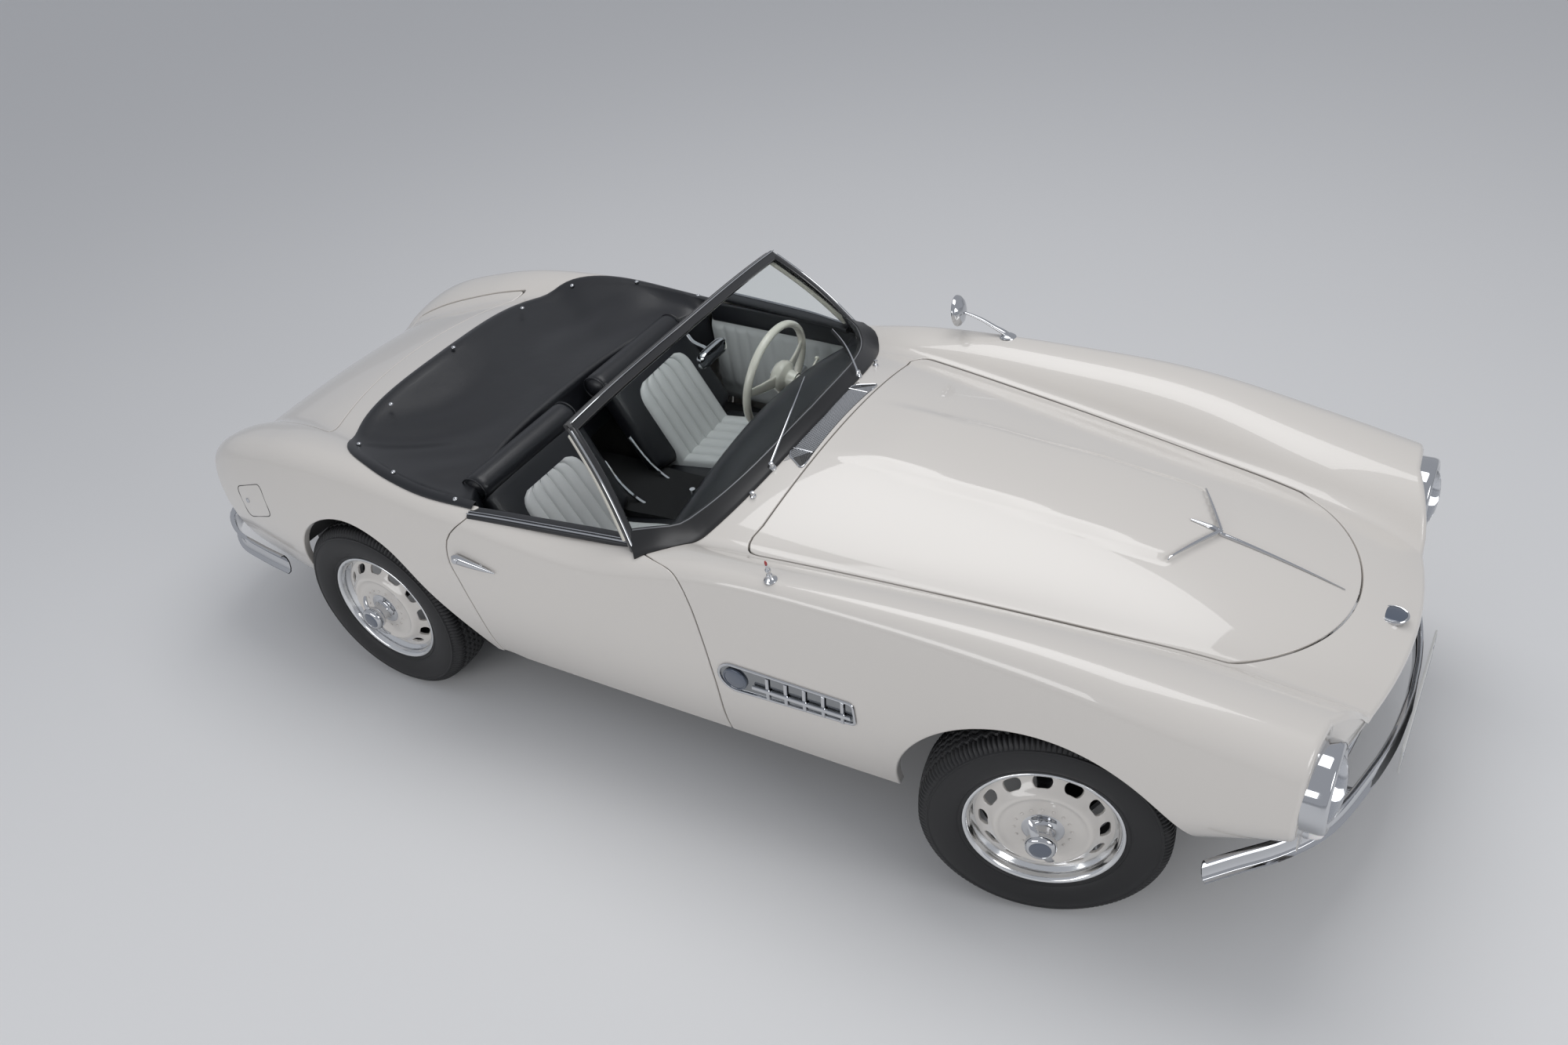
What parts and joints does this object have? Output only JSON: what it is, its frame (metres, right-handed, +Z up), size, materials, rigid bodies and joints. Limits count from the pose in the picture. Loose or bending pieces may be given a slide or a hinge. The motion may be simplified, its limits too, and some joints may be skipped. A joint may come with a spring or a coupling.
{
  "type": "roadster convertible",
  "caption": "Open two-seat roadster with long opening bonnet, two doors, boot lid, wraparound windscreen, leather cockpit, steered front wheels and disc road wheels.",
  "frame": {"origin": "on the ground, under the middle of the overall length and on the car's centre plane", "axes": "+X forward, +Y to the car's left, +Z up"},
  "size_m": [4.3198, 1.7874, 1.2219],
  "materials": {
    "paint": "gloss",
    "paint_dark": "satin",
    "chrome": "polished",
    "dark_metal": "satin",
    "cast": "matt",
    "tyre": "matt",
    "glass": "clear",
    "lens": "clear",
    "leather_dark": "satin",
    "leather_pale": "satin",
    "black_trim": "matt",
    "ivory_plastic": "gloss",
    "red_lens": "gloss",
    "plate": "gloss",
    "rubber": "matt"
  },
  "bodies": {
    "body": {"aerial": "chrome", "body_shell": "paint", "cabin_mirror": "chrome", "chassis_frame": "paint_dark", "dashboard": "leather_dark", "driver_controls": "black_trim", "engine_block": "cast", "exhaust_pipes": "dark_metal", "floor_tub": "paint_dark", "front_axle": "dark_metal", "front_bumper": "chrome", "grilles": "chrome", "headlamp_bezels": "chrome", "headlamps": "lens", "indicators": "lens", "number_plates": "plate", "rear_axle": "dark_metal", "rear_bumper": "chrome", "scuttle_grille": "chrome", "seat_backs": "leather_dark", "seat_cushions": "leather_dark", "side_vents": "chrome", "steering_column": "ivory_plastic", "tail_lamps": "red_lens", "tonneau_cover": "leather_dark", "wheel_houses": "paint_dark", "windscreen_frame": "chrome", "windscreen_glass": "glass", "wing_mirror": "chrome", "wipers": "chrome"},
    "door_left": {"door_left": "paint", "door_trim_left": "leather_pale", "door_handle_left": "chrome"},
    "door_right": {"door_right": "paint", "door_trim_right": "leather_pale", "door_handle_right": "chrome"},
    "bonnet": {"bonnet": "paint", "bonnet_trim": "chrome"},
    "boot_lid": {"boot_lid": "paint"},
    "steering_wheel": {"steering_wheel": "ivory_plastic"},
    "knuckle_left": {"knuckle_left": "dark_metal"},
    "knuckle_right": {"knuckle_right": "dark_metal"},
    "road_wheel_front_left": {"tyre_front_left": "tyre", "wheel_front_left": "paint"},
    "road_wheel_front_right": {"tyre_front_right": "tyre", "wheel_front_right": "paint"},
    "road_wheel_rear_left": {"tyre_rear_left": "tyre", "wheel_rear_left": "paint"},
    "road_wheel_rear_right": {"tyre_rear_right": "tyre", "wheel_rear_right": "paint"}
  },
  "joints": [
    {"name": "door_left_hinge", "type": "hinge", "parent": "body", "child": "door_left", "pos_m": [0.362, 0.818, 0.6], "axis": [0, 0, -1], "range_deg": [0, 60]},
    {"name": "door_right_hinge", "type": "hinge", "parent": "body", "child": "door_right", "pos_m": [0.362, -0.818, 0.6], "axis": [0, 0, 1], "range_deg": [0, 60]},
    {"name": "bonnet_hinge", "type": "hinge", "parent": "body", "child": "bonnet", "pos_m": [0.362, 0, 0.99], "axis": [0, -1, 0], "range_deg": [0, 55]},
    {"name": "boot_lid_hinge", "type": "hinge", "parent": "body", "child": "boot_lid", "pos_m": [-1.39, 0, 0.945], "axis": [0, 1, 0], "range_deg": [0, 60]},
    {"name": "steer_left", "type": "hinge", "parent": "body", "child": "knuckle_left", "pos_m": [1.34, 0.7225, 0.35], "axis": [0, 0, 1], "range_deg": [-44, 12]},
    {"name": "steer_right", "type": "hinge", "parent": "body", "child": "knuckle_right", "pos_m": [1.34, -0.7225, 0.35], "axis": [0, 0, 1], "range_deg": [-44, 12]},
    {"name": "steering_wheel_turn", "type": "hinge", "parent": "body", "child": "steering_wheel", "pos_m": [-0.111, 0.37, 0.838], "axis": [-0.9848, 0, 0.1736], "range_deg": [-704, 192]},
    {"name": "spin_front_left", "type": "hinge", "parent": "knuckle_left", "child": "road_wheel_front_left", "pos_m": [1.34, 0.7225, 0.35], "axis": [-0.2756, 0.9613, 0], "continuous": true},
    {"name": "spin_front_right", "type": "hinge", "parent": "knuckle_right", "child": "road_wheel_front_right", "pos_m": [1.34, -0.7225, 0.35], "axis": [-0.2756, 0.9613, 0], "continuous": true},
    {"name": "spin_rear_left", "type": "hinge", "parent": "body", "child": "road_wheel_rear_left", "pos_m": [-1.14, 0.7125, 0.35], "axis": [0, 1, 0], "continuous": true},
    {"name": "spin_rear_right", "type": "hinge", "parent": "body", "child": "road_wheel_rear_right", "pos_m": [-1.14, -0.7125, 0.35], "axis": [0, 1, 0], "continuous": true}
  ],
  "couplings": [
    {"joint": "steer_right", "follows": "steer_left", "ratio": 1},
    {"joint": "steering_wheel_turn", "follows": "steer_left", "ratio": 16}
  ]
}
